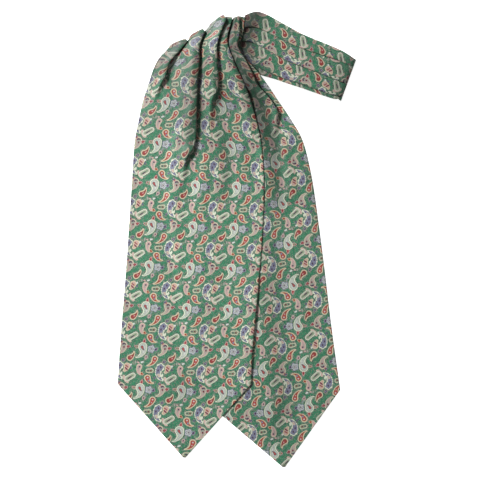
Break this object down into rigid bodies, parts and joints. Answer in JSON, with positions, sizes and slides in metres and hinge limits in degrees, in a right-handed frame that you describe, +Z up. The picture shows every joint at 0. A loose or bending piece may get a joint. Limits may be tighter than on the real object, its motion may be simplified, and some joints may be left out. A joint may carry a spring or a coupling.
{
  "type": "silk cravat",
  "caption": "Green silk day cravat with a paisley print, wide pointed blades pleated into a narrow neckband, folded at the neck and laid flat.",
  "frame": {"origin": "centre of the bounding box on the surface that the cravat lies on", "axes": "+Z up from the surface, +Y from the blades' points to the neck, +X towards the folded neckband"},
  "size_m": [0.2737, 0.5232, 0.0161],
  "materials": {
    "front silk": "satin",
    "back silk": "satin",
    "band silk": "satin",
    "hidden silk": "satin"
  },
  "bodies": {
    "root": {"front_blade": "front silk", "back_blade": "back silk", "neckband": "band silk", "folded_layers": "hidden silk"}
  },
  "joints": []
}
